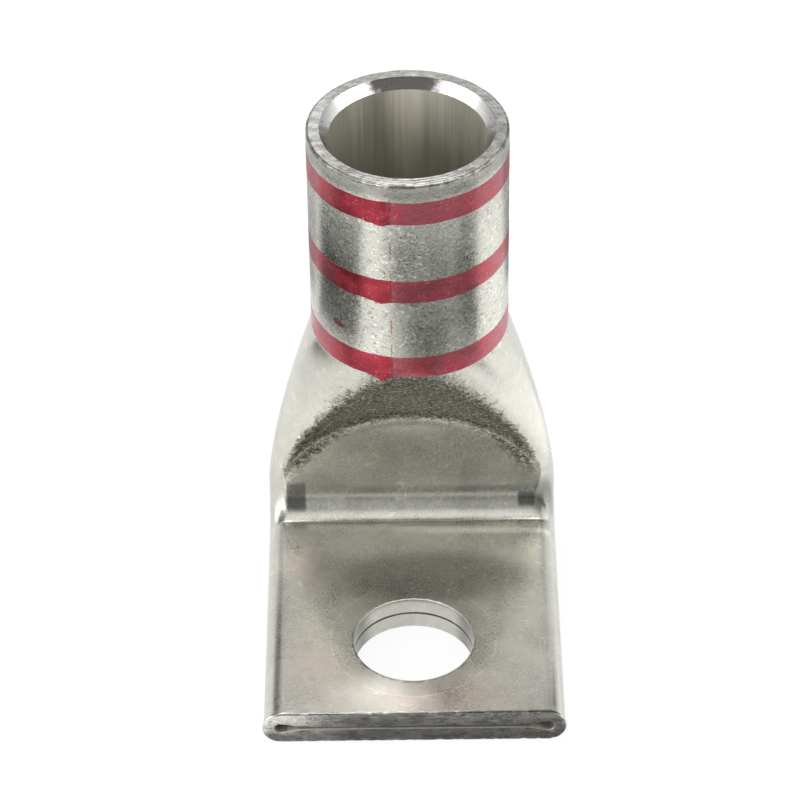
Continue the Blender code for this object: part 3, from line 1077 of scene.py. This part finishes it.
def flag(name, near, far, shade):
    """A studio card, dark or bright, that shows only in reflections."""
    card = link(name, card_mesh(name, near, far))
    material, tree, surface = emptied_material(name)
    glow = tree.nodes.new("ShaderNodeEmission")
    glow.inputs["Color"].default_value = (shade, shade, shade, 1)
    tree.links.new(glow.outputs[0], surface)
    card.data.materials.append(material)
    card.visible_camera = card.visible_diffuse = card.visible_shadow = False


def bearing(degrees, distance, height):
    """A point at this bearing from the barrel's axis: 0 is the front, 90 the right side."""
    turn = radians(degrees)
    return Vector((distance * sin(turn), AXIS_Y - distance * cos(turn), height))


def sky_point(degrees, elevation, distance):
    """A point seen from the lug's middle at this bearing and elevation."""
    rise = radians(elevation)
    return bearing(degrees, distance * cos(rise), 30 * MM + distance * sin(rise))


def spread_angles(start, end):
    return [mix(start, end, i / CARD_STEPS) for i in range(CARD_STEPS + 1)]


def level_flag(name, near_span, far_span, near, far, height, shade):
    """A level card in a sector round the barrel, between two bearings at its near and its far edge."""
    inside = [bearing(angle, near, height) for angle in spread_angles(*near_span)]
    outside = [bearing(angle, far, height) for angle in spread_angles(*far_span)]
    flag(name, inside, outside, shade)


def sky_flag(name, start, end, lowest, highest, shade):
    """A card far off, between two bearings and two elevations."""
    bottom, top = (
        [sky_point(angle, elevation, SKY_DISTANCE) for angle in spread_angles(start, end)]
        for elevation in (lowest, highest)
    )
    flag(name, bottom, top, shade)


LAMP_TARGET = Vector((0, 0, 20 * MM))
SKY_DISTANCE = 0.52

# Each lamp's name, place, size and power.
LAMPS = (
    ("top_lamp", (0, 0.15, 0.6), (0.4, 0.3), 1.25),
    ("mouth_lamp", (0, -0.12, 0.6), (0.3, 0.3), 0.5),
    ("left_lamp", (-0.5, -0.1, 0.25), (0.5, 0.5), 1.2),
    ("right_lamp", (0.5, -0.1, 0.25), (0.5, 0.5), 1.2),
    ("front_left_lamp", sky_point(-38, 18, 0.45), (0.2, 0.2), 0.7),
)

# Each level card's name, bearings of its near and far edge, distances and height, and shade.
LEVEL_FLAGS = (
    ("left_flag", (-104, -50), (-108, -50), *mm(25, 54, 25), 0.05),
    ("front_flag", (14, 38), (-30, 38), *mm(34, 72, 15), 0.12),
    ("front_gap", (38, 50), (38, 50), *mm(34, 72, 15), 0.3),
    ("front_right_flag", (50, 74), (50, 78), *mm(34, 72, 15), 0.09),
    ("right_flag", (124, 165), (124, 165), *mm(25, 54, 25), 0.3),
    ("left_edge_flag", (-165, -116), (-165, -116), *mm(25, 54, 25), 0.5),
    ("front_left_card", (-48, -14), (-48, -30), *mm(45, 100, 0), 1.35),
    ("right_card", (60, 125), (60, 125), *mm(36, 80, 0), 1.35),
)

# Each far card's name, first and last bearing, lowest and highest elevation, and shade.
SKY_FLAGS = (
    ("camera_side", -16, 52, -3, 46, 0.41),
    ("overhead_flag", -30, 30, 66, 82, 0.06),
    ("back_wall", 128, 232, 28, 62, 0.6),
)

# Each dark card on the floor before the cut end, a painted contact shadow that the cut end mirrors: its name,
# nearest and farthest depth, and shade.
CONTACT_SHADOW_CARDS = (
    ("near_contact_flag", mm(0, 1.8), 0.19),
    ("middle_contact_flag", mm(1.8, 3.4), 0.34),
    ("far_contact_flag", mm(3.4, 9), 0.13),
)


def contact_shadow_card(name, depths, shade):
    """A dark card on the floor that the cut end mirrors, in place of the floor's contact shadow."""
    width = high.x + 1 * MM
    front = low.y - 0.05 * MM
    near, far = ([(-width, front - depth, 0), (width, front - depth, 0)] for depth in depths)
    flag(name, near, far, shade)


def make_studio():
    make_world()
    make_floor()
    for make, rows in (
        (area_lamp, LAMPS),
        (level_flag, LEVEL_FLAGS),
        (sky_flag, SKY_FLAGS),
        (contact_shadow_card, CONTACT_SHADOW_CARDS),
    ):
        for row in rows:
            make(*row)


def make_camera():
    side = Vector((cos(CAMERA_AZIMUTH), sin(CAMERA_AZIMUTH), 0))
    back = Vector((
        sin(CAMERA_AZIMUTH) * cos(CAMERA_ELEVATION),
        -cos(CAMERA_AZIMUTH) * cos(CAMERA_ELEVATION),
        sin(CAMERA_ELEVATION),
    ))
    up = back.cross(side)
    right = side * cos(CAMERA_ROLL) + up * sin(CAMERA_ROLL)
    rotation = Matrix((right, back.cross(right), back)).transposed()
    data = bpy.data.cameras.new("camera")
    data.lens = LENS_MM
    data.sensor_width = SENSOR_MM
    data.clip_start = 0.01
    data.clip_end = 20
    camera = bpy.data.objects.new("camera", data)
    camera.matrix_world = Matrix.Translation(CAMERA_TARGET + back * CAMERA_DISTANCE) @ rotation.to_4x4()
    bpy.context.scene.collection.objects.link(camera)
    bpy.context.scene.camera = camera


bpy.context.scene.view_settings.view_transform = "Standard"
make_camera()
make_studio()
make_lug()
make_ink()
